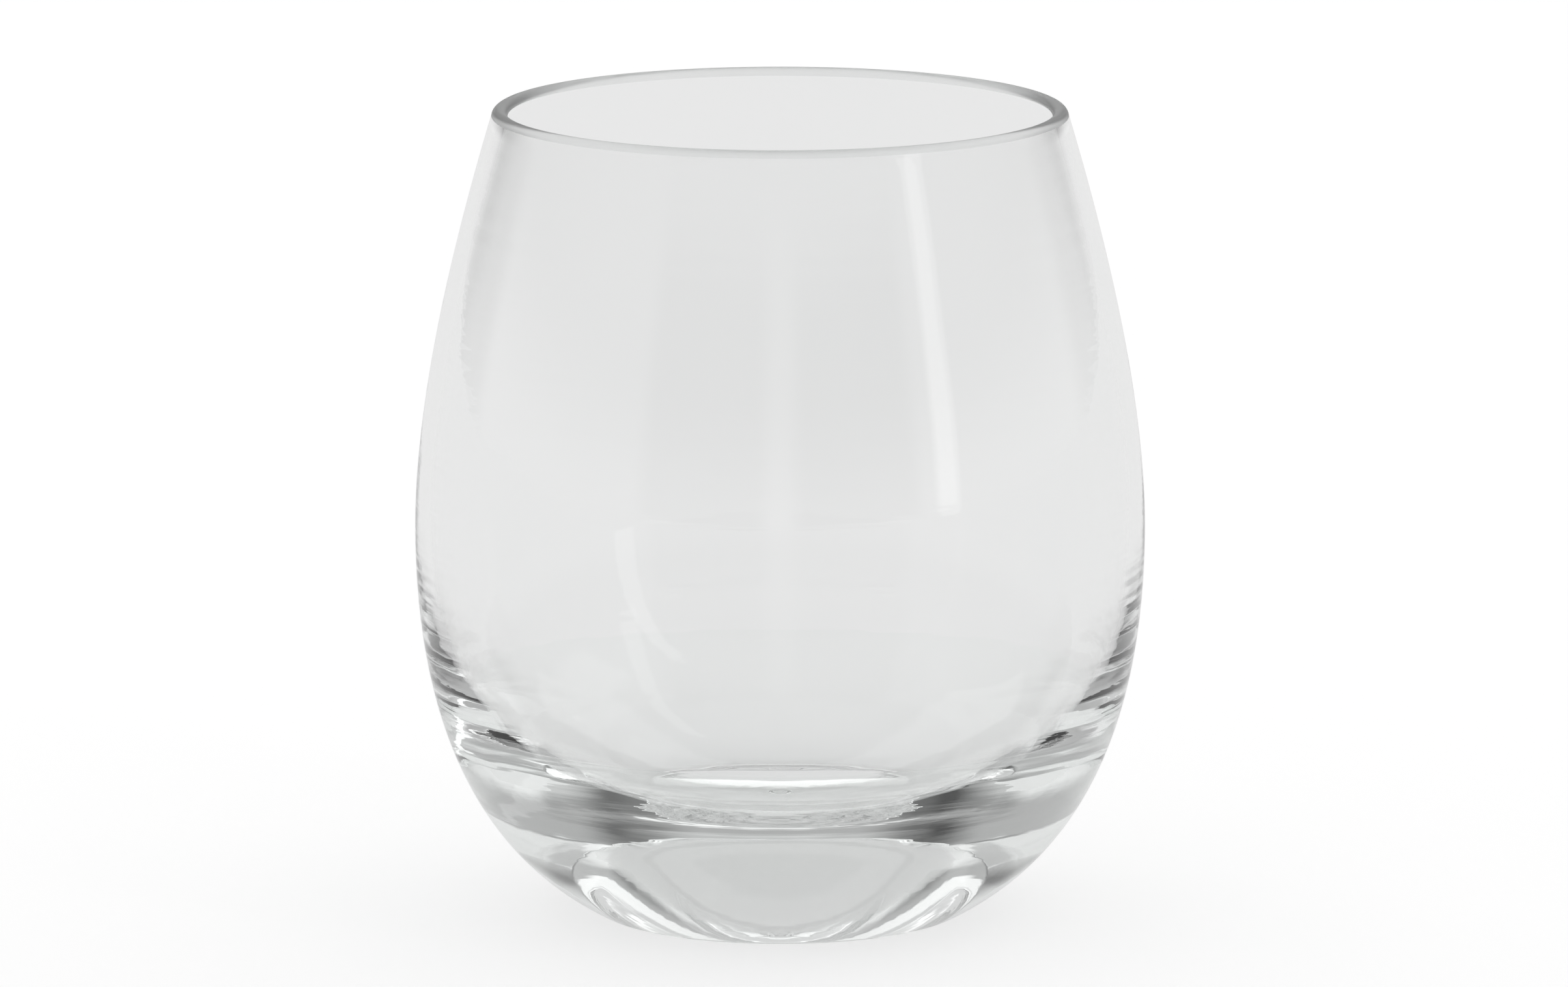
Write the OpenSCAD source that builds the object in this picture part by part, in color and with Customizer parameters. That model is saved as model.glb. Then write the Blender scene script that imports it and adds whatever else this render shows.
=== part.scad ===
// Stemless water glass, clear all through.
// A thin bowl with a beaded lip sits in a heavy base and is bonded to it over the whole seat.
// The origin is the centre of the foot, with +Z up. Sizes are in millimetres.

/* [Overall] */
// Height from the table to the top of the lip
total_h = 99.8; // [88:0.1:125]
// Outer diameter of the belly, the widest place
belly_d = 90; // [82:0.5:110]
// Height of the belly above the table
belly_h = 47.6; // [42:0.1:58]
// Outer diameter over the lip
rim_d = 70.8; // [58:0.1:78]

/* [Bowl] */
// Thickness of the wall where it runs into the lip
wall_rim = 1.8; // [1.4:0.05:1.95]
// Thickness of the wall at the belly
wall_belly = 1.9; // [1.5:0.05:2.6]
// Radius of the round bead along the lip
lip_r = 1; // [0.95:0.05:1.4]
// Height of the bowl's floor above the table, at its middle
floor_h = 5.6; // [5:0.1:7]
// Height of the turn, where the wall runs into the floor's curve
turn_h = 16.8; // [14.5:0.1:20]
// Thickness of the glass at the turn, measured level
turn_wall = 7.9; // [6.8:0.1:9.5]
// Diameter of the raised moulding mark in the middle of the floor
mark_d = 3; // [2:0.1:5]
// Height of the moulding mark above the floor
mark_h = 0.15; // [0.1:0.05:0.4]

/* [Base] */
// Outer diameter of the flat foot
foot_d = 46; // [44:0.5:56]
// Diameter of the shallow hollow inside the foot
hollow_d = 40; // [30:0.2:43.2]
// Depth of the hollow at its middle
hollow_h = 0.3; // [0.2:0.1:1.2]
// Height of the parting line between bowl and base
parting_h = 25; // [20:0.5:27]
// Thickness of the bowl's bottom where it sits in the base
seat_wall = 2.2; // [1.6:0.1:2.8]

/* [Curves] */
// Lean of the wall from upright at the lip, in degrees
rim_lean = 16.8; // [10:0.1:20]
// Slope of the base from the table at the foot, in degrees
heel_slope = 28.5; // [20:0.5:35]
// Slope of the bowl's inside from level at the turn, in degrees
turn_slope = 31; // [27:0.1:36]
// Reach of the upright tangent at the belly, as a share of the upper curve's height
upper_belly_pull = 0.28; // [0.2:0.01:0.5]
// Reach of the leaning tangent at the lip, as a share of the upper curve's height
upper_rim_pull = 0.37; // [0.2:0.01:0.45]
// Reach of the upright tangent at the belly, as a share of the lower curve's height
lower_belly_pull = 0.71; // [0.5:0.01:0.8]
// Reach of the sloping tangent at the foot, as a share of the lower curve's width
heel_pull = 0.375; // [0.25:0.005:0.55]
// Reach of the upright tangent at the belly, as a share of the inner wall's height up from the turn
inner_belly_pull = 0.65; // [0.5:0.01:0.78]
// Reach of the sloping tangent above the turn, as a share of the inner wall's height up from the turn
turn_rise_pull = 0.15; // [0.1:0.01:0.25]
// Reach of the sloping tangent below the turn, as a share of the floor curve's width
turn_drop_pull = 0.38; // [0.3:0.01:0.5]
// Reach of the level tangent at the floor's middle, as a share of the floor curve's width
floor_pull = 0.37; // [0.25:0.01:0.5]

/* [Hidden] */
$fn = 128;

// Steps that each curve is drawn with
curve_steps = 18;
seat_steps = 14;
lip_steps = 14;
hollow_steps = 6;

belly_r = belly_d / 2;
rim_r = rim_d / 2;
mark_r = mark_d / 2;
foot_r = foot_d / 2;
hollow_r = hollow_d / 2;
inner_r = belly_r - wall_belly;

// The lip's bead, and the two places where the leaning wall runs into it
lip_centre = [rim_r - lip_r, total_h - lip_r];
wall_down = [sin(rim_lean), -cos(rim_lean)];
wall_out = [cos(rim_lean), sin(rim_lean)];
neck_drop = sqrt(pow(lip_r, 2) - pow(wall_rim / 2, 2));
outer_rim = lip_centre + neck_drop * wall_down + wall_rim / 2 * wall_out;
inner_rim = lip_centre + neck_drop * wall_down - wall_rim / 2 * wall_out;

// Point on a cubic curve, and the direction square to it on the right of its run
function bezier(poles, t) =
    pow(1 - t, 3) * poles[0] + 3 * t * pow(1 - t, 2) * poles[1]
    + 3 * pow(t, 2) * (1 - t) * poles[2] + pow(t, 3) * poles[3];
function right_of(poles, t) =
    let (run = pow(1 - t, 2) * (poles[1] - poles[0]) + 2 * t * (1 - t) * (poles[2] - poles[1])
               + pow(t, 2) * (poles[3] - poles[2]))
    [run[1], -run[0]] / norm(run);

// Place along a curve where a rising measure reaches a value, found by halving the span
function place(measure, value, low = 0, high = 1, halvings = 30) =
    let (middle = (low + high) / 2)
    halvings == 0 ? middle
    : measure(middle) < value ? place(measure, value, middle, high, halvings - 1)
    : place(measure, value, low, middle, halvings - 1);

// Points along a curve from one place to another, without the first
function along(poles, from, to) =
    [for (step = [1:curve_steps]) bezier(poles, from + (to - from) * step / curve_steps)];

// Poles of the cubic curves, each from its lower end to its upper end
upper_span = outer_rim[1] - belly_h;
belly_rise = [0, upper_belly_pull * upper_span];
rim_drop = upper_rim_pull * upper_span * wall_down;
heel_rise = heel_pull * (belly_r - foot_r) * [cos(heel_slope), sin(heel_slope)];
outer_belly = [belly_r, belly_h];
inner_belly = [inner_r, belly_h];
foot_edge = [foot_r, 0];
outer_lower = [foot_edge, foot_edge + heel_rise, outer_belly - [0, lower_belly_pull * belly_h], outer_belly];
outer_upper = [outer_belly, outer_belly + belly_rise, outer_rim + rim_drop, outer_rim];
inner_upper = [inner_belly, inner_belly + belly_rise, inner_rim + rim_drop, inner_rim];

// The inside of the bowl runs from the floor's middle to the turn, and from there up to the belly
function outer_r_at(height) = bezier(outer_lower, place(function(t) bezier(outer_lower, t)[1], height))[0];
floor_middle = [0, floor_h];
turn = [outer_r_at(turn_h) - turn_wall, turn_h];
turn_run = [cos(turn_slope), sin(turn_slope)];
turn_span = belly_h - turn_h;
inner_floor = [floor_middle, floor_middle + [floor_pull * turn[0], 0],
               turn - turn_drop_pull * turn[0] * turn_run, turn];
inner_wall = [turn, turn + turn_rise_pull * turn_span * turn_run,
              inner_belly - [0, inner_belly_pull * turn_span], inner_belly];

// The seat follows the floor's curve, and past the turn the wall, at the seat's own thickness
function seat(t) =
    let (poles = t < 1 ? inner_floor : inner_wall, part = t < 1 ? t : t - 1)
    bezier(poles, part) + seat_wall * right_of(poles, part);
seat_end = place(function(t) seat(t)[1], parting_h, 0, 2);
parting_end = place(function(t) bezier(outer_lower, t)[1], parting_h);
mark_end = place(function(t) bezier(inner_floor, t)[0], mark_r);
seat_land = [seat(seat_end)[0], parting_h];
seat_down = [for (step = [seat_steps - 1:-1:0]) seat(seat_end * step / seat_steps)];

// The lip's bead runs over the top from the inner wall to the outer wall
neck_angle = asin(wall_rim / 2 / lip_r);
bead_start = 270 + rim_lean - neck_angle;
bead_turn = 360 - 2 * neck_angle;
function bead(angle) = lip_centre + lip_r * [cos(angle), sin(angle)];
bead_over = [for (step = [1:lip_steps - 1]) bead(bead_start - bead_turn * step / lip_steps)];

// The hollow inside the foot is a shallow part of a sphere
hollow_sphere_r = (pow(hollow_r, 2) + pow(hollow_h, 2)) / (2 * hollow_h);
hollow_angle = asin(hollow_r / hollow_sphere_r);
function hollow(angle) = [hollow_sphere_r * sin(angle), hollow_h - hollow_sphere_r * (1 - cos(angle))];
hollow_out = [for (step = [0:hollow_steps]) hollow(hollow_angle * step / hollow_steps)];

bowl_outline = concat(
    [floor_middle + [0, mark_h], [mark_r, floor_h + mark_h], bezier(inner_floor, mark_end)],
    along(inner_floor, mark_end, 1),
    along(inner_wall, 0, 1),
    along(inner_upper, 0, 1),
    bead_over,
    [outer_rim],
    along(outer_upper, 1, 0),
    along(outer_lower, 1, parting_end),
    [seat_land],
    seat_down
);

base_outline = concat(
    hollow_out,
    [foot_edge],
    along(outer_lower, 0, parting_end),
    [seat_land],
    seat_down
);

// Thin vessel with its lip, floor and the bottom that sits in the base
module bowl() {
    color("aliceblue", 0.5)
        rotate_extrude()
            polygon(bowl_outline);
}

// Heavy base with the seat for the bowl, the heel and the foot
module base() {
    color("lightcyan", 0.5)
        rotate_extrude()
            polygon(base_outline);
}

bowl();
base();
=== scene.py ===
"""Studio picture of a stemless water glass: a thin bowl with a round lip, bonded into a heavy clear base.

Sizes of the glass are in millimetres in its form and in metres in its meshes. +Z is up, and the origin
is the centre of the foot.
"""

import logging
import math
from collections.abc import Callable
from dataclasses import dataclass, field
from enum import Enum

import bpy
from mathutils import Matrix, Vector

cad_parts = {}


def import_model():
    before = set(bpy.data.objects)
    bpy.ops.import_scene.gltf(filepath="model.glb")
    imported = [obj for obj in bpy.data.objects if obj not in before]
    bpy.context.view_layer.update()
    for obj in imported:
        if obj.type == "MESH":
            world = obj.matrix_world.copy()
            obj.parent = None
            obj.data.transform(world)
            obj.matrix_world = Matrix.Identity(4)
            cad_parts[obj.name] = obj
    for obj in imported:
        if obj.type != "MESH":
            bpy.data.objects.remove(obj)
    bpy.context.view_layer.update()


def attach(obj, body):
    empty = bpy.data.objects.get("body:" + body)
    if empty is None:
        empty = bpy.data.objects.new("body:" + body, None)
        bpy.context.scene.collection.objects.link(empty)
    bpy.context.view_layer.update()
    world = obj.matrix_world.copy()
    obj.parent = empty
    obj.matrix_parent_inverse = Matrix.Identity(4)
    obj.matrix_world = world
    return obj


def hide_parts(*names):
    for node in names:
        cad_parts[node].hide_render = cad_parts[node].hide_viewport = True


LOG = logging.getLogger("water_glass")
MM = 0.001
IMAGE_WIDTH = 2408
IMAGE_HEIGHT = 1516
HALVINGS = 40

# Metres within which two points are one, and degrees past which an edge is sharp
MERGE_DISTANCE = 1e-6
SHARP_ANGLE = 40.0

# How far up or down a face of the seat looks, and how many millimetres above the parting line it may lie
SEAT_LEAN = 0.01
SEAT_SLACK = 0.001


class Skin(Enum):
    """Which finish a face of the glass takes."""

    POLISHED = "polished"
    BOND = "bond"
    LIP = "lip"
    MARK = "mark"


def place_of(measure: Callable[[float], float], value: float, end: float = 1.0) -> float:
    """Find where a rising measure reaches a value, by halving the span.

    Args:
        measure: Gives the measure at a place, and rises from place 0 to the end.
        value: What the measure has to reach.
        end: Place where the span ends.

    Returns:
        The place, from 0 to the end.
    """
    low = 0.0
    high = end
    for _ in range(HALVINGS):
        middle = (low + high) / 2.0
        if measure(middle) < value:
            low = middle
        else:
            high = middle
    return (low + high) / 2.0


@dataclass(frozen=True)
class Cubic:
    """A cubic curve in the half-plane of the glass, with its poles as (radius, height)."""

    poles: tuple[Vector, Vector, Vector, Vector]

    def at(self, t: float) -> Vector:
        """Find the point at a place along the curve.

        Args:
            t: Place along the curve, from 0 to 1.

        Returns:
            The point as (radius, height).
        """
        a, b, c, d = self.poles
        s = 1.0 - t
        return s**3 * a + 3.0 * t * s**2 * b + 3.0 * t**2 * s * c + t**3 * d

    def right(self, t: float) -> Vector:
        """Find the direction square to the curve, on the right of its run.

        Args:
            t: Place along the curve, from 0 to 1.

        Returns:
            A direction of length 1.
        """
        a, b, c, d = self.poles
        s = 1.0 - t
        run = s**2 * (b - a) + 2.0 * t * s * (c - b) + t**2 * (d - c)
        return Vector((run.y, -run.x)).normalized()

    def points(self, steps: int, start: float = 0.0, end: float = 1.0) -> list[Vector]:
        """List points from one place to another, without the first.

        Args:
            steps: How many points to give.
            start: Place along the curve to leave from.
            end: Place along the curve to reach.

        Returns:
            The points in order.
        """
        return [self.at(start + (end - start) * (i + 1) / steps) for i in range(steps)]

    def place(self, axis: int, value: float) -> float:
        """Find where the radius (axis 0) or height (axis 1), rising along the curve, reaches a value."""
        return place_of(lambda t: self.at(t)[axis], value)


@dataclass(frozen=True)
class GlassForm:
    """Every size of the glass, and the curves that its two pieces share.

    The wall is a little thicker at the lip than in the solids, so that the bead runs straight into it.
    """

    total_h: float = 99.8
    belly_d: float = 90.0
    belly_h: float = 47.6
    rim_d: float = 70.8
    wall_rim: float = 1.98
    wall_belly: float = 1.9
    lip_r: float = 1.0
    floor_h: float = 5.6
    turn_h: float = 16.8
    turn_wall: float = 7.9
    mark_d: float = 3.0
    mark_h: float = 0.15
    foot_d: float = 46.0
    hollow_d: float = 40.0
    hollow_h: float = 0.3
    parting_h: float = 25.0
    seat_wall: float = 2.2
    rim_lean: float = 16.8
    heel_slope: float = 28.5
    turn_slope: float = 31.0
    upper_belly_pull: float = 0.28
    upper_rim_pull: float = 0.37
    lower_belly_pull: float = 0.71
    heel_pull: float = 0.375
    inner_belly_pull: float = 0.65
    turn_rise_pull: float = 0.15
    turn_drop_pull: float = 0.38
    floor_pull: float = 0.37

    @property
    def lip_centre(self) -> Vector:
        """Centre of the bead along the lip."""
        return Vector((self.rim_d / 2.0 - self.lip_r, self.total_h - self.lip_r))

    @property
    def wall_down(self) -> Vector:
        """Direction down the leaning wall below the lip."""
        lean = math.radians(self.rim_lean)
        return Vector((math.sin(lean), -math.cos(lean)))

    @property
    def rim_drop(self) -> Vector:
        """Reach of the wall's tangent below the lip, for the curves up to it."""
        return self.upper_rim_pull * (self.rim_edge(1.0).y - self.belly_h) * self.wall_down

    @property
    def belly_rise(self) -> Vector:
        """Reach of the upright tangent above the belly."""
        return Vector((0.0, self.upper_belly_pull * (self.rim_edge(1.0).y - self.belly_h)))

    def rim_edge(self, side: float) -> Vector:
        """Find where the wall runs into the bead.

        Args:
            side: 1 for the outer face of the wall, -1 for the inner face.

        Returns:
            The point as (radius, height).
        """
        drop = math.sqrt(self.lip_r**2 - (self.wall_rim / 2.0) ** 2)
        out = Vector((-self.wall_down.y, self.wall_down.x))
        return self.lip_centre + drop * self.wall_down + side * self.wall_rim / 2.0 * out

    def outer_lower(self) -> Cubic:
        """Draw the outer face from the edge of the foot up to the belly.

        Returns:
            The curve, from its lower end.
        """
        foot = Vector((self.foot_d / 2.0, 0.0))
        belly = Vector((self.belly_d / 2.0, self.belly_h))
        slope = math.radians(self.heel_slope)
        reach = self.heel_pull * (belly.x - foot.x)
        heel = foot + reach * Vector((math.cos(slope), math.sin(slope)))
        drop = Vector((0.0, self.lower_belly_pull * self.belly_h))
        return Cubic((foot, heel, belly - drop, belly))

    def outer_upper(self) -> Cubic:
        """Draw the outer face from the belly up to the lip.

        Returns:
            The curve, from its lower end.
        """
        belly = Vector((self.belly_d / 2.0, self.belly_h))
        rim = self.rim_edge(1.0)
        return Cubic((belly, belly + self.belly_rise, rim + self.rim_drop, rim))

    def inner_upper(self) -> Cubic:
        """Draw the inner face from the belly up to the lip.

        Returns:
            The curve, from its lower end.
        """
        belly = Vector((self.belly_d / 2.0 - self.wall_belly, self.belly_h))
        rim = self.rim_edge(-1.0)
        return Cubic((belly, belly + self.belly_rise, rim + self.rim_drop, rim))

    def turn(self) -> Vector:
        """Point on the inner face where the wall runs into the floor's curve."""
        outer = self.outer_lower()
        return Vector((outer.at(outer.place(1, self.turn_h)).x - self.turn_wall, self.turn_h))

    def turn_run(self) -> Vector:
        """Direction of the inner face at the turn, going up."""
        slope = math.radians(self.turn_slope)
        return Vector((math.cos(slope), math.sin(slope)))

    def inner_wall(self) -> Cubic:
        """Draw the inner face from the turn up to the belly.

        Returns:
            The curve, from its lower end.
        """
        turn = self.turn()
        span = self.belly_h - self.turn_h
        belly = Vector((self.belly_d / 2.0 - self.wall_belly, self.belly_h))
        rise = self.turn_rise_pull * span * self.turn_run()
        drop = Vector((0.0, self.inner_belly_pull * span))
        return Cubic((turn, turn + rise, belly - drop, belly))

    def inner_floor(self) -> Cubic:
        """Draw the inner face from the middle of the floor out to the turn.

        Returns:
            The curve, from its end on the axis.
        """
        turn = self.turn()
        middle = Vector((0.0, self.floor_h))
        level = Vector((self.floor_pull * turn.x, 0.0))
        drop = self.turn_drop_pull * turn.x * self.turn_run()
        return Cubic((middle, middle + level, turn - drop, turn))

    def seat(self, steps: int, gap: float = 0.0) -> list[Vector]:
        """List the seat's points from its land at the parting line down to the axis.

        Args:
            steps: How many steps the curved part of the seat has.
            gap: How far below the bowl's own face the points lie.

        Returns:
            The points in order, the last one on the axis.
        """
        depth = self.seat_wall + gap
        land_h = self.parting_h - gap
        floor = self.inner_floor()
        wall = self.inner_wall()
        wall_end = 2.0

        def below(t: float) -> Vector:
            """Point under the inner face, past 1 on the wall above the turn."""
            curve, part = (floor, t) if t < 1.0 else (wall, t - 1.0)
            return curve.at(part) + depth * curve.right(part)

        end = place_of(lambda t: below(t).y, land_h, wall_end)
        land = Vector((below(end).x, land_h))
        return [land] + [below(end * (steps - 1 - i) / steps) for i in range(steps)]

    def lip_bead(self, steps: int) -> list[Vector]:
        """List the bead's points over the top, from the inner wall to the outer wall.

        Args:
            steps: How many steps the bead has.

        Returns:
            The points between the two walls, without their ends.
        """
        neck = math.asin(self.wall_rim / 2.0 / self.lip_r)
        straight_down = 1.5 * math.pi
        start = straight_down + math.radians(self.rim_lean) - neck
        sweep = 2.0 * math.pi - 2.0 * neck
        angles = [start - sweep * (i + 1) / steps for i in range(steps - 1)]
        return [self.lip_centre + self.lip_r * Vector((math.cos(a), math.sin(a))) for a in angles]


def lathe(name: str, outline: list[Vector], around: int) -> bpy.types.Object:
    """Turn an outline about the upright axis into a closed piece.

    Args:
        name: Name of the new piece.
        outline: Points as (radius, height) in millimetres, the first and last on the axis.
        around: How many steps the full turn has.

    Returns:
        The turned piece, smooth apart from its sharp edges.
    """
    bpy.ops.object.select_all(action="DESELECT")
    path = [Vector((p.x * MM, 0.0, p.y * MM)) for p in outline]
    bpy.ops.mesh.primitive_plane_add(size=MM, location=(0.0, 0.0, 0.0))
    piece = bpy.context.object
    piece.name = name
    piece.data.name = name
    bpy.ops.object.mode_set(mode="EDIT")
    bpy.ops.mesh.select_all(action="SELECT")
    bpy.ops.mesh.merge(type="CENTER")
    bpy.ops.transform.translate(value=path[0])
    for here, there in zip(path, path[1:]):
        bpy.ops.mesh.extrude_region_move(TRANSFORM_OT_translate={"value": there - here})
    bpy.ops.mesh.select_all(action="SELECT")
    bpy.ops.mesh.spin(steps=around, angle=math.tau, center=(0.0, 0.0, 0.0), axis=(0.0, 0.0, 1.0))
    bpy.ops.mesh.select_all(action="SELECT")
    bpy.ops.mesh.remove_doubles(threshold=MERGE_DISTANCE)
    bpy.ops.mesh.normals_make_consistent(inside=False)
    bpy.ops.object.mode_set(mode="OBJECT")
    bpy.ops.object.shade_smooth_by_angle(angle=math.radians(SHARP_ANGLE))
    return piece


def dress(piece: bpy.types.Object, finishes: dict[Skin, bpy.types.Material], skins: list[Skin]) -> None:
    """Give a piece its finishes, each on the faces that take it.

    Args:
        piece: The piece to dress.
        finishes: Material of each skin that the piece has.
        skins: Skin of each face of the piece, in the order of its faces.
    """
    bpy.ops.object.select_all(action="DESELECT")
    bpy.context.view_layer.objects.active = piece
    for place, (skin, finish) in enumerate(finishes.items()):
        piece.data.materials.append(finish)
        bpy.ops.object.mode_set(mode="EDIT")
        bpy.ops.mesh.select_all(action="DESELECT")
        bpy.ops.object.mode_set(mode="OBJECT")
        piece.data.polygons.foreach_set("select", [face_skin is skin for face_skin in skins])
        bpy.ops.object.mode_set(mode="EDIT")
        piece.active_material_index = place
        bpy.ops.object.material_slot_assign()
        bpy.ops.object.mode_set(mode="OBJECT")


def number(
    tree: bpy.types.NodeTree, operation: str, *values: bpy.types.NodeSocket | float
) -> bpy.types.NodeSocket:
    """Add a Math node.

    Args:
        tree: Node tree to add to.
        operation: What the node works out.
        values: Sockets or plain numbers that feed it, in order.

    Returns:
        The socket with the result.
    """
    node = tree.nodes.new("ShaderNodeMath")
    node.operation = operation
    for socket, value in zip(node.inputs, values):
        if isinstance(value, bpy.types.NodeSocket):
            tree.links.new(value, socket)
        else:
            socket.default_value = value
    return node.outputs[0]


def ease(
    tree: bpy.types.NodeTree,
    angle: bpy.types.NodeSocket,
    span: tuple[float, float],
    ends: tuple[float, float],
) -> bpy.types.NodeSocket:
    """Add a smooth step over a span of an angle.

    Args:
        tree: Node tree to add to.
        angle: Socket with the angle, in radians.
        span: Where the step starts and ends, in degrees.
        ends: Values before and after the step.

    Returns:
        The socket with the stepped value.
    """
    node = tree.nodes.new("ShaderNodeMapRange")
    node.interpolation_type = "SMOOTHSTEP"
    tree.links.new(angle, node.inputs["Value"])
    node.inputs["From Min"].default_value = math.radians(span[0])
    node.inputs["From Max"].default_value = math.radians(span[1])
    node.inputs["To Min"].default_value = ends[0]
    node.inputs["To Max"].default_value = ends[1]
    return node.outputs["Result"]


def through_glass(tree: bpy.types.NodeTree, rays: bpy.types.Node) -> bpy.types.NodeSocket:
    """Add a Math node that is 1 for rays that were mirrored or let through, from a Light Path node."""
    return number(tree, "MAXIMUM", rays.outputs["Is Glossy Ray"], rays.outputs["Is Transmission Ray"])


def formed_nodes(tree: bpy.types.NodeTree, surface: bpy.types.NodeTree) -> bpy.types.Node:
    """Add the shared surface group to a material and feed it Object coordinates.

    Args:
        tree: The material's node tree.
        surface: Node group with what forming and use left on the surface.

    Returns:
        The group's node in the material.
    """
    coord = tree.nodes.new("ShaderNodeTexCoord")
    formed = tree.nodes.new("ShaderNodeGroup")
    formed.node_tree = surface
    tree.links.new(coord.outputs["Object"], formed.inputs["Vector"])
    return formed


@dataclass(frozen=True)
class FormedSurface:
    """What forming and use leave on clear glass.

    Flow rings run round the axis, with soft waves between them and a trace of haze and tint.
    """

    name: str = "formed_surface"
    ring_scale: float = 420.0
    ring_detail: float = 2.0
    ring_share: float = 0.2
    wave_scale: float = 90.0
    wave_detail: float = 1.0
    wave_stretch: float = 0.45
    haze_scale: float = 55.0
    haze_detail: float = 4.0
    haze_span: tuple[float, float] = (0.45, 0.75)
    haze_most: float = 0.012
    tint_scale: float = 24.0
    tint_detail: float = 2.0
    tint_low: tuple[float, float, float] = (0.985, 0.99, 0.988)
    tint_high: tuple[float, float, float] = (1.0, 1.0, 1.0)

    def group(self) -> bpy.types.NodeTree:
        """Make the node group that the pieces of glass share.

        Returns:
            A group that takes Object coordinates and puts out Tint, Haze and Height.
        """
        tree = bpy.data.node_groups.new(self.name, "ShaderNodeTree")
        tree.interface.new_socket("Vector", in_out="INPUT", socket_type="NodeSocketVector")
        tree.interface.new_socket("Tint", in_out="OUTPUT", socket_type="NodeSocketColor")
        tree.interface.new_socket("Haze", in_out="OUTPUT", socket_type="NodeSocketFloat")
        tree.interface.new_socket("Height", in_out="OUTPUT", socket_type="NodeSocketFloat")
        place = tree.nodes.new("NodeGroupInput").outputs["Vector"]
        made = tree.nodes.new("NodeGroupOutput")
        tree.links.new(self.tint(tree, place), made.inputs["Tint"])
        tree.links.new(self.haze(tree, place), made.inputs["Haze"])
        tree.links.new(self.height(tree, place), made.inputs["Height"])
        return tree

    def tint(self, tree: bpy.types.NodeTree, place: bpy.types.NodeSocket) -> bpy.types.NodeSocket:
        """Add broad soft blotches of tint.

        Args:
            tree: Node tree to add to.
            place: Socket with the Object coordinates.

        Returns:
            The socket with the tint's colour.
        """
        node = tree.nodes.new("ShaderNodeMix")
        node.data_type = "RGBA"
        node.inputs["A"].default_value = (*self.tint_low, 1.0)
        node.inputs["B"].default_value = (*self.tint_high, 1.0)
        blotches = self.noise(tree, place, self.tint_scale, self.tint_detail)
        tree.links.new(blotches, node.inputs["Factor"])
        return node.outputs["Result"]

    def haze(self, tree: bpy.types.NodeTree, place: bpy.types.NodeSocket) -> bpy.types.NodeSocket:
        """Add patches of haze.

        Args:
            tree: Node tree to add to.
            place: Socket with the Object coordinates.

        Returns:
            The socket with the roughness that the haze gives.
        """
        node = tree.nodes.new("ShaderNodeMapRange")
        node.interpolation_type = "SMOOTHSTEP"
        node.inputs["From Min"].default_value = self.haze_span[0]
        node.inputs["From Max"].default_value = self.haze_span[1]
        node.inputs["To Max"].default_value = self.haze_most
        patches = self.noise(tree, place, self.haze_scale, self.haze_detail)
        tree.links.new(patches, node.inputs["Value"])
        return node.outputs["Result"]

    def height(self, tree: bpy.types.NodeTree, place: bpy.types.NodeSocket) -> bpy.types.NodeSocket:
        """Add the soft waves and the flow rings.

        Args:
            tree: Node tree to add to.
            place: Socket with the Object coordinates.

        Returns:
            The socket with the surface's height, from 0 to 1.
        """
        waves = self.noise(tree, self.stretched(tree, place), self.wave_scale, self.wave_detail)
        rings = self.noise(tree, self.round_place(tree, place), self.ring_scale, self.ring_detail)
        node = tree.nodes.new("ShaderNodeMix")
        node.inputs["Factor"].default_value = self.ring_share
        tree.links.new(waves, node.inputs["A"])
        tree.links.new(rings, node.inputs["B"])
        return node.outputs["Result"]

    def noise(
        self, tree: bpy.types.NodeTree, place: bpy.types.NodeSocket, scale: float, detail: float
    ) -> bpy.types.NodeSocket:
        """Add soft noise at a place.

        Args:
            tree: Node tree to add to.
            place: Socket with the coordinates.
            scale: How many blotches the noise has in a metre.
            detail: How many finer layers lie on it.

        Returns:
            The socket with the noise's value.
        """
        node = tree.nodes.new("ShaderNodeTexNoise")
        node.inputs["Scale"].default_value = scale
        node.inputs["Detail"].default_value = detail
        tree.links.new(place, node.inputs["Vector"])
        return node.outputs["Fac"]

    def round_place(self, tree: bpy.types.NodeTree, place: bpy.types.NodeSocket) -> bpy.types.NodeSocket:
        """Turn coordinates into radius and height, so that a pattern on them runs in rings.

        Args:
            tree: Node tree to add to.
            place: Socket with the Object coordinates.

        Returns:
            The socket with (radius, 0, height).
        """
        split = tree.nodes.new("ShaderNodeSeparateXYZ")
        flat = tree.nodes.new("ShaderNodeCombineXYZ")
        radius = tree.nodes.new("ShaderNodeVectorMath")
        radius.operation = "LENGTH"
        rings = tree.nodes.new("ShaderNodeCombineXYZ")
        tree.links.new(place, split.inputs[0])
        tree.links.new(split.outputs["X"], flat.inputs["X"])
        tree.links.new(split.outputs["Y"], flat.inputs["Y"])
        tree.links.new(flat.outputs[0], radius.inputs[0])
        tree.links.new(radius.outputs["Value"], rings.inputs["X"])
        tree.links.new(split.outputs["Z"], rings.inputs["Z"])
        return rings.outputs[0]

    def stretched(self, tree: bpy.types.NodeTree, place: bpy.types.NodeSocket) -> bpy.types.NodeSocket:
        """Shorten the height in coordinates, so that a pattern on them is drawn out upwards.

        Args:
            tree: Node tree to add to.
            place: Socket with the Object coordinates.

        Returns:
            The socket with the shortened coordinates.
        """
        node = tree.nodes.new("ShaderNodeVectorMath")
        node.operation = "MULTIPLY"
        node.inputs[1].default_value = (1.0, 1.0, self.wave_stretch)
        tree.links.new(place, node.inputs[0])
        return node.outputs[0]


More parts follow.
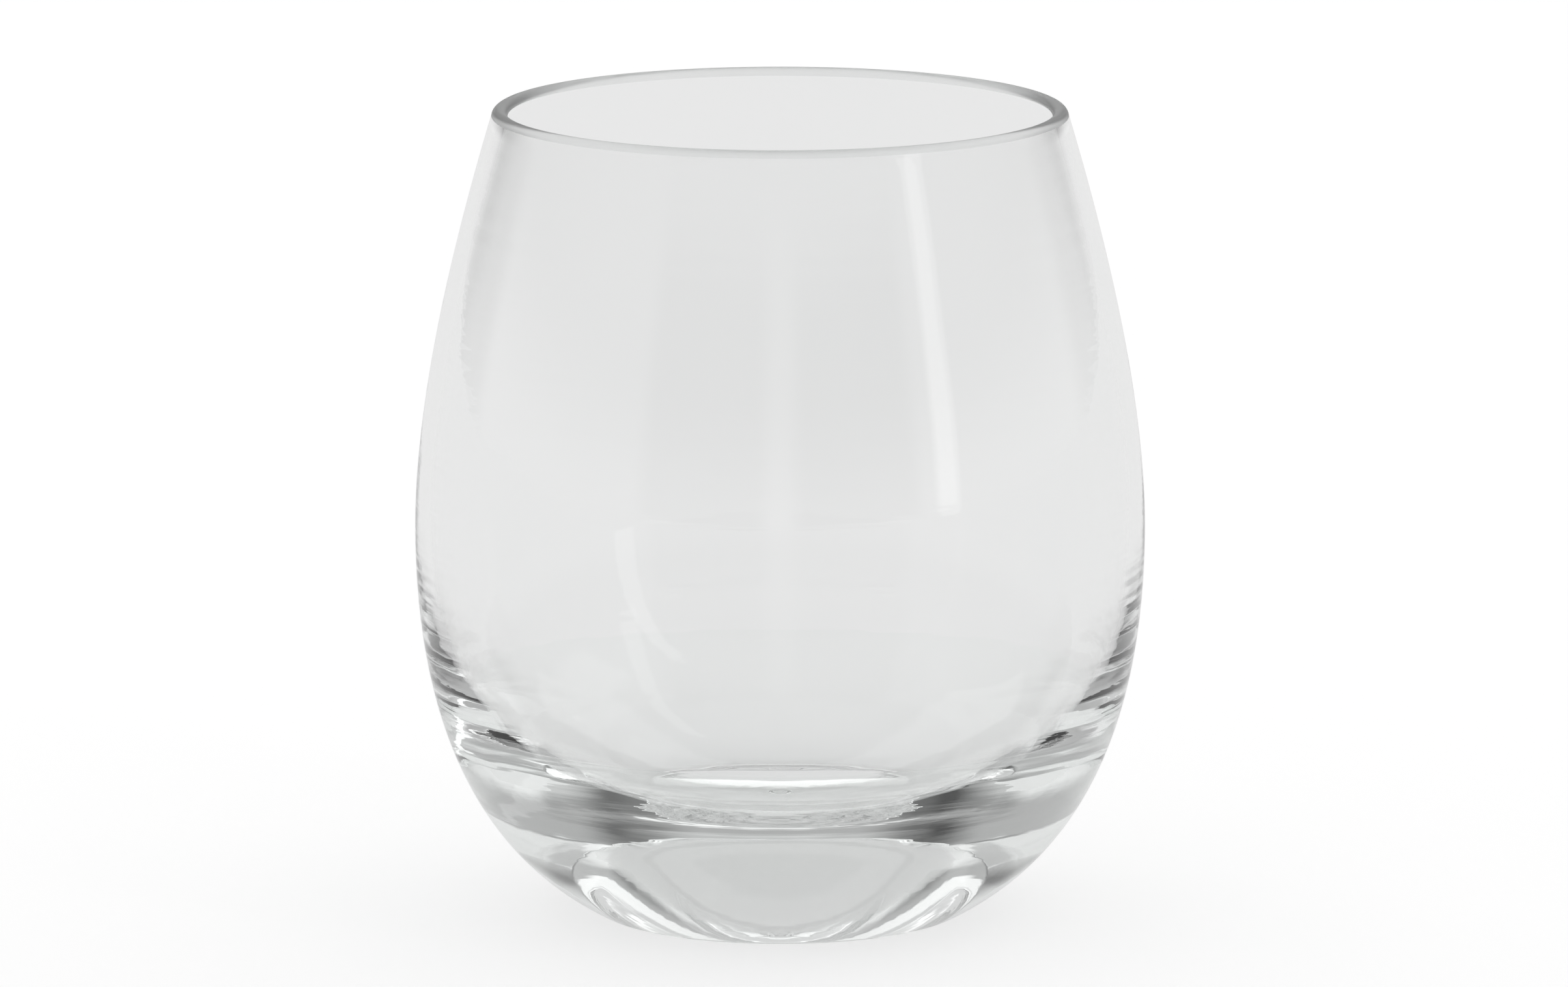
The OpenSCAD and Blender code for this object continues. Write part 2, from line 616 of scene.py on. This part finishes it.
@dataclass(frozen=True)
class GlassFinish:
    """One finish of the clear glass: its tint, how far it ripples in millimetres, and how satin it is."""

    name: str
    tint: tuple[float, float, float]
    ripple: float
    satin: float = 0.0
    ior: float = 1.5

    def material(self, surface: bpy.types.NodeTree) -> bpy.types.Material:
        """Make the material.

        Args:
            surface: Node group with what forming and use left on the surface.

        Returns:
            A glass material that reads Object coordinates.
        """
        made = bpy.data.materials.new(self.name)
        made.use_nodes = True
        tree = made.node_tree
        shader = tree.nodes["Principled BSDF"]
        shader.inputs["IOR"].default_value = self.ior
        shader.inputs["Metallic"].default_value = 0.0
        shader.inputs["Transmission Weight"].default_value = 1.0
        formed = formed_nodes(tree, surface)
        colour = tree.nodes.new("ShaderNodeMix")
        colour.data_type = "RGBA"
        colour.blend_type = "MULTIPLY"
        colour.inputs["Factor"].default_value = 1.0
        colour.inputs["B"].default_value = (*self.tint, 1.0)
        tree.links.new(formed.outputs["Tint"], colour.inputs["A"])
        tree.links.new(colour.outputs["Result"], shader.inputs["Base Color"])
        roughness = number(tree, "ADD", formed.outputs["Haze"], self.satin)
        tree.links.new(roughness, shader.inputs["Roughness"])
        bump = tree.nodes.new("ShaderNodeBump")
        bump.inputs["Strength"].default_value = 1.0
        bump.inputs["Distance"].default_value = self.ripple * MM
        tree.links.new(formed.outputs["Height"], bump.inputs["Height"])
        tree.links.new(bump.outputs["Normal"], shader.inputs["Normal"])
        return made


@dataclass(frozen=True)
class BondFinish:
    """The faces where the two pieces are bonded: clear through, with no step between the two."""

    name: str = "clear_bond"
    ior: float = 1.0

    def material(self, surface: bpy.types.NodeTree) -> bpy.types.Material:
        """Make the material.

        Args:
            surface: Node group with what forming and use left on the surface.

        Returns:
            A material that lets light pass straight through.
        """
        made = bpy.data.materials.new(self.name)
        made.use_nodes = True
        tree = made.node_tree
        shader = tree.nodes["Principled BSDF"]
        formed = formed_nodes(tree, surface)
        tree.links.new(formed.outputs["Tint"], shader.inputs["Base Color"])
        shader.inputs["Roughness"].default_value = 0.0
        shader.inputs["IOR"].default_value = self.ior
        shader.inputs["Transmission Weight"].default_value = 1.0
        return made


@dataclass
class Bowl:
    """The thin vessel: floor with its moulding mark, wall, lip, and bottom that sits in the base."""

    form: GlassForm
    around: int = 256
    fine_reach: float = 8.0
    fine_steps: int = 90
    floor_steps: int = 60
    wall_steps: int = 28
    upper_steps: int = 32
    lip_steps: int = 24
    seat_steps: int = 40
    mark_band: float = 0.16
    mark_width: float = 0.48
    ring_pitch: float = 1.7
    ring_height: float = 0.008
    ring_fade: float = 5.0

    def relief(self, radius: float) -> float:
        """Find how far the mark and the flow rings round it stand above the plain floor.

        Args:
            radius: Distance from the axis.

        Returns:
            The height to add to the floor.
        """
        off = (radius - self.form.mark_d / 2.0 + self.mark_band) / self.mark_band
        ridge = self.form.mark_h * math.exp(-(off**2))
        wave = math.cos(math.tau * radius / self.ring_pitch)
        return ridge + self.ring_height * wave * math.exp(-radius / self.ring_fade)

    def floor_line(self) -> list[Vector]:
        """List the floor's points from the axis out to the turn, with finer steps in the middle.

        Returns:
            The points in order, the first one on the axis.
        """
        curve = self.form.inner_floor()
        reach = curve.place(0, self.fine_reach)
        plain = [curve.at(0.0)]
        plain += curve.points(self.fine_steps, 0.0, reach)
        plain += curve.points(self.floor_steps, reach, 1.0)
        return [Vector((point.x, point.y + self.relief(point.x))) for point in plain]

    def outline(self) -> list[Vector]:
        """List the whole outline, from the floor's middle over the lip to the seat's middle.

        Returns:
            The points in order, the first and last on the axis.
        """
        form = self.form
        outer = form.outer_lower()
        parting = outer.place(1, form.parting_h)
        line = self.floor_line()
        line += form.inner_wall().points(self.wall_steps)
        line += form.inner_upper().points(self.upper_steps)
        line += form.lip_bead(self.lip_steps)
        line += [form.rim_edge(1.0)]
        line += form.outer_upper().points(self.upper_steps, 1.0, 0.0)
        line += outer.points(self.wall_steps, 1.0, parting)
        line += form.seat(self.seat_steps)
        return line

    def skin(self, face: bpy.types.MeshPolygon) -> Skin:
        """Tell a face's skin by its place and normal.

        Args:
            face: Face of the bowl.

        Returns:
            The bond in the seat, the lip on the bead's round top, the mark on its ring, or polished.
        """
        form = self.form
        if face.normal.z < -SEAT_LEAN and face.center.z <= (form.parting_h + SEAT_SLACK) * MM:
            return Skin.BOND
        # The bead's round top takes the finish whose grey tint is painted shade.
        if face.center.z > (form.total_h - form.lip_r) * MM:
            return Skin.LIP
        # The ring of the mark takes the finish whose dark tint is painted shade.
        inside = form.mark_d / 2.0 - face.center.xy.length / MM
        if 0.0 < inside < self.mark_width:
            return Skin.MARK
        return Skin.POLISHED

    def build(self, finishes: dict[Skin, bpy.types.Material]) -> bpy.types.Object:
        """Model the bowl, dress it and put it in the frame.

        Args:
            finishes: Material of each of the bowl's skins.

        Returns:
            The finished piece.
        """
        piece = lathe("glass_bowl", self.outline(), self.around)
        dress(piece, finishes, [self.skin(face) for face in piece.data.polygons])
        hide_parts("bowl")
        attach(piece, "root")
        return piece


@dataclass
class Base:
    """The heavy base: seat for the bowl, heel, ring foot and the shallow hollow under it."""

    form: GlassForm
    around: int = 256
    heel_steps: int = 40
    seat_steps: int = 40
    hollow_steps: int = 24
    bond_gap: float = 0.01

    def outline(self) -> list[Vector]:
        """List the whole outline, from the hollow's middle round the heel to the seat's middle.

        Returns:
            The points in order, the first and last on the axis.
        """
        form = self.form
        outer = form.outer_lower()
        hollow_r = form.hollow_d / 2.0
        sphere = (hollow_r**2 + form.hollow_h**2) / (2.0 * form.hollow_h)
        sweep = math.asin(hollow_r / sphere)
        line = []
        for i in range(self.hollow_steps + 1):
            a = sweep * i / self.hollow_steps
            line.append(Vector((sphere * math.sin(a), form.hollow_h - sphere * (1.0 - math.cos(a)))))
        line += [outer.at(0.0)]
        line += outer.points(self.heel_steps, 0.0, outer.place(1, form.parting_h - self.bond_gap))
        line += form.seat(self.seat_steps, self.bond_gap)
        return line

    def skin(self, face: bpy.types.MeshPolygon) -> Skin:
        """Tell a face's skin: the bond where it looks up, in the seat, and polished elsewhere."""
        return Skin.BOND if face.normal.z > SEAT_LEAN else Skin.POLISHED

    def build(self, finishes: dict[Skin, bpy.types.Material]) -> bpy.types.Object:
        """Model the base, dress it and put it in the frame.

        Args:
            finishes: Material of each of the base's skins.

        Returns:
            The finished piece.
        """
        piece = lathe("glass_base", self.outline(), self.around)
        dress(piece, finishes, [self.skin(face) for face in piece.data.polygons])
        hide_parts("base")
        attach(piece, "root")
        return piece


@dataclass(frozen=True)
class Panel:
    """One softbox or dark card round the glass, as seen from its middle, in degrees.

    The azimuth is 0 towards the camera and grows to the right. The strength is added to the room's own
    level, so that a card has a strength below 0.
    """

    azimuth: float
    elevation: float
    half_width: float
    half_height: float
    edge: float
    strength: float

    def glow(
        self, tree: bpy.types.NodeTree, azimuth: bpy.types.NodeSocket, elevation: bpy.types.NodeSocket
    ) -> bpy.types.NodeSocket:
        """Add the nodes of this panel.

        Args:
            tree: The world's node tree.
            azimuth: Socket with the azimuth looked at, in radians.
            elevation: Socket with the elevation looked at, in radians.

        Returns:
            The socket with the level that the panel adds.
        """
        turned = number(tree, "SUBTRACT", azimuth, math.radians(self.azimuth))
        across = number(tree, "ABSOLUTE", number(tree, "WRAP", turned, math.pi, -math.pi))
        raised = number(tree, "SUBTRACT", elevation, math.radians(self.elevation))
        wide = self.fade(tree, across, self.half_width)
        tall = self.fade(tree, number(tree, "ABSOLUTE", raised), self.half_height)
        return number(tree, "MULTIPLY", number(tree, "MULTIPLY", wide, tall), self.strength)

    def fade(
        self, tree: bpy.types.NodeTree, off: bpy.types.NodeSocket, half: float
    ) -> bpy.types.NodeSocket:
        """Add a step from 1 inside the panel to 0 past its soft edge, a half size off its middle."""
        return ease(tree, off, (half - self.edge, half + self.edge), (1.0, 0.0))


def softboxes() -> list[Panel]:
    """List the softboxes of the studio.

    Returns:
        The upright strip at the right, the box beside it and the wide box high up behind the glass.
    """
    return [
        Panel(azimuth=55.0, elevation=25.0, half_width=3.5, half_height=30.0, edge=0.8, strength=1.0),
        Panel(azimuth=105.0, elevation=41.0, half_width=16.0, half_height=11.0, edge=4.0, strength=0.6),
        Panel(azimuth=180.0, elevation=37.0, half_width=60.0, half_height=14.0, edge=2.0, strength=0.65),
    ]


def dark_cards() -> list[Panel]:
    """List the dark cards of the studio.

    Returns:
        A right and a left card in front of the glass, behind it, and low down behind its sides.
    """
    return [
        Panel(azimuth=25.0, elevation=8.0, half_width=20.0, half_height=12.0, edge=4.0, strength=-0.4),
        Panel(azimuth=-25.0, elevation=8.0, half_width=20.0, half_height=12.0, edge=4.0, strength=-0.34),
        Panel(azimuth=145.0, elevation=10.0, half_width=10.0, half_height=9.0, edge=8.0, strength=-0.26),
        Panel(azimuth=-145.0, elevation=10.0, half_width=10.0, half_height=9.0, edge=8.0, strength=-0.32),
        Panel(azimuth=130.0, elevation=3.5, half_width=13.0, half_height=6.0, edge=5.0, strength=-0.3),
        Panel(azimuth=-130.0, elevation=3.5, half_width=13.0, half_height=6.0, edge=5.0, strength=-0.38),
    ]


@dataclass
class Studio:
    """Pale floor, plain soft light from all round, and the camera at the photograph's angle."""

    floor_size: float = 8.0
    floor_sides: int = 96
    floor_drop: float = 0.00005
    floor_shade: float = 0.48
    floor_lift: float = 0.67
    floor_glass_lift: float = 0.48
    sweep: float = 0.84
    sweep_top: tuple[float, float] = (1.0, 12.0)
    room: float = 0.42
    ceiling: float = 0.7
    ceiling_rise: tuple[float, float] = (24.0, 60.0)
    darkest: float = 0.03
    horizon: tuple[float, float] = (0.0, 3.0)
    horizon_share: float = 0.1
    camera_distance: float = 1.4
    camera_height: float = 0.05
    camera_elevation: float = 10.58
    focal_pixels: float = 17434.0
    axis_column: float = 1198.0
    aim_row: float = 778.8
    sensor_width: float = 36.0
    clip: tuple[float, float] = (0.01, 100.0)
    bounces: int = 64
    panels: list[Panel] = field(default_factory=list)

    def lay_floor(self) -> bpy.types.Object:
        """Lay the pale floor.

        Returns:
            The floor.
        """
        bpy.ops.object.select_all(action="DESELECT")
        radius = self.floor_size / 2.0
        bpy.ops.mesh.primitive_circle_add(vertices=self.floor_sides, radius=radius, fill_type="NGON")
        floor = bpy.context.object
        floor.name = "studio_floor"
        bpy.ops.object.mode_set(mode="EDIT")
        bpy.ops.mesh.select_all(action="SELECT")
        bpy.ops.transform.translate(value=(0.0, 0.0, -self.floor_drop))
        bpy.ops.object.mode_set(mode="OBJECT")
        floor.data.materials.append(self.floor_material())
        return floor

    def floor_material(self) -> bpy.types.Material:
        """Make the floor's matt finish, lifted to white for the camera and to pale grey in the glass.

        Returns:
            A material that keeps the shadow of the glass.
        """
        made = bpy.data.materials.new("pale_floor")
        made.use_nodes = True
        tree = made.node_tree
        tree.nodes.clear()
        out = tree.nodes.new("ShaderNodeOutputMaterial")
        matt = tree.nodes.new("ShaderNodeBsdfDiffuse")
        matt.inputs["Color"].default_value = (self.floor_shade, self.floor_shade, self.floor_shade, 1.0)
        glow = tree.nodes.new("ShaderNodeEmission")
        rays = tree.nodes.new("ShaderNodeLightPath")
        seen = number(tree, "MULTIPLY", rays.outputs["Is Camera Ray"], self.floor_lift)
        lift = number(tree, "MULTIPLY_ADD", through_glass(tree, rays), self.floor_glass_lift, seen)
        both = tree.nodes.new("ShaderNodeAddShader")
        tree.links.new(lift, glow.inputs["Strength"])
        tree.links.new(matt.outputs[0], both.inputs[0])
        tree.links.new(glow.outputs[0], both.inputs[1])
        tree.links.new(both.outputs[0], out.inputs["Surface"])
        return made

    def light(self) -> None:
        """Light the glass with the world, which the camera itself sees as white.

        The light has a pale sweep low down, a dim room above it, a bright ceiling, and the panels.
        """
        world = bpy.data.worlds.new("studio")
        bpy.context.scene.world = world
        world.use_nodes = True
        tree = world.node_tree
        tree.nodes.clear()
        out = tree.nodes.new("ShaderNodeOutputWorld")
        sky = tree.nodes.new("ShaderNodeBackground")
        sky.inputs["Color"].default_value = (1.0, 1.0, 1.0, 1.0)
        coord = tree.nodes.new("ShaderNodeTexCoord")
        split = tree.nodes.new("ShaderNodeSeparateXYZ")
        tree.links.new(coord.outputs["Generated"], split.inputs[0])
        toward = number(tree, "MULTIPLY", split.outputs["Y"], -1.0)
        azimuth = number(tree, "ARCTAN2", split.outputs["X"], toward)
        elevation = number(tree, "ARCSINE", split.outputs["Z"])
        low = ease(tree, elevation, self.sweep_top, (self.sweep, self.room))
        high = ease(tree, elevation, self.ceiling_rise, (0.0, self.ceiling - self.room))
        level = number(tree, "ADD", low, high)
        for panel in self.panels:
            level = number(tree, "ADD", level, panel.glow(tree, azimuth, elevation))
        level = number(tree, "MAXIMUM", level, self.darkest)
        rays = tree.nodes.new("ShaderNodeLightPath")
        band = ease(tree, elevation, self.horizon, (self.horizon_share, 0.0))
        share = number(tree, "MULTIPLY", through_glass(tree, rays), band)
        white = number(tree, "MAXIMUM", rays.outputs["Is Camera Ray"], share)
        shown = tree.nodes.new("ShaderNodeMix")
        shown.inputs["B"].default_value = 1.0
        tree.links.new(white, shown.inputs["Factor"])
        tree.links.new(level, shown.inputs["A"])
        tree.links.new(shown.outputs["Result"], sky.inputs["Strength"])
        tree.links.new(sky.outputs[0], out.inputs["Surface"])

    def place_camera(self) -> bpy.types.Object:
        """Place the camera where it sees the glass as the photograph does.

        Returns:
            The camera.
        """
        tilt = math.radians(self.camera_elevation)
        back = self.camera_distance * math.cos(tilt)
        up = self.camera_height + self.camera_distance * math.sin(tilt)
        bpy.ops.object.select_all(action="DESELECT")
        turned = (math.pi / 2.0 - tilt, 0.0, 0.0)
        bpy.ops.object.camera_add(location=(0.0, -back, up), rotation=turned)
        camera = bpy.context.object
        camera.name = "studio_camera"
        lens = camera.data
        lens.sensor_width = self.sensor_width
        lens.lens = self.focal_pixels / IMAGE_WIDTH * lens.sensor_width
        lens.shift_x = (IMAGE_WIDTH / 2.0 - self.axis_column) / IMAGE_WIDTH
        lens.shift_y = (self.aim_row - IMAGE_HEIGHT / 2.0) / IMAGE_WIDTH
        lens.clip_start = self.clip[0]
        lens.clip_end = self.clip[1]
        bpy.context.scene.camera = camera
        return camera

    def set_view(self) -> None:
        """Show colours as written, and let light cross the thick glass as often as it needs."""
        scene = bpy.context.scene
        scene.view_settings.view_transform = "Standard"
        scene.cycles.max_bounces = self.bounces
        scene.cycles.transmission_bounces = self.bounces
        scene.cycles.glossy_bounces = self.bounces


def main() -> None:
    """Build the bowl, the base and the studio in order."""
    logging.basicConfig(level=logging.INFO, format="%(name)s: %(message)s")
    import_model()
    form = GlassForm()
    surface = FormedSurface().group()
    bond = BondFinish().material(surface)
    # The lip's grey tint is painted shade on the clear bead; its satin is a rougher finish.
    lip = GlassFinish("lip_glass_painted_shade", tint=(0.88, 0.89, 0.885), ripple=0.01, satin=0.35).material(surface)
    # The mark's near-black tint is painted shade on the clear mould mark.
    mark = GlassFinish("mark_glass_painted_shade", tint=(0.26, 0.27, 0.26), ripple=0.01, satin=0.05).material(surface)
    wall = GlassFinish("bowl_glass", tint=(1.0, 1.0, 1.0), ripple=0.08).material(surface)
    foot = GlassFinish("base_glass", tint=(0.98, 0.99, 0.984), ripple=0.03).material(surface)
    bowl = Bowl(form).build({Skin.POLISHED: wall, Skin.BOND: bond, Skin.LIP: lip, Skin.MARK: mark})
    LOG.info("%s: %d faces", bowl.name, len(bowl.data.polygons))
    base = Base(form).build({Skin.POLISHED: foot, Skin.BOND: bond})
    LOG.info("%s: %d faces", base.name, len(base.data.polygons))
    studio = Studio(panels=softboxes() + dark_cards())
    floor = studio.lay_floor()
    studio.light()
    camera = studio.place_camera()
    studio.set_view()
    LOG.info("stage: %s, %s", floor.name, camera.name)


if __name__ == "__main__":
    main()
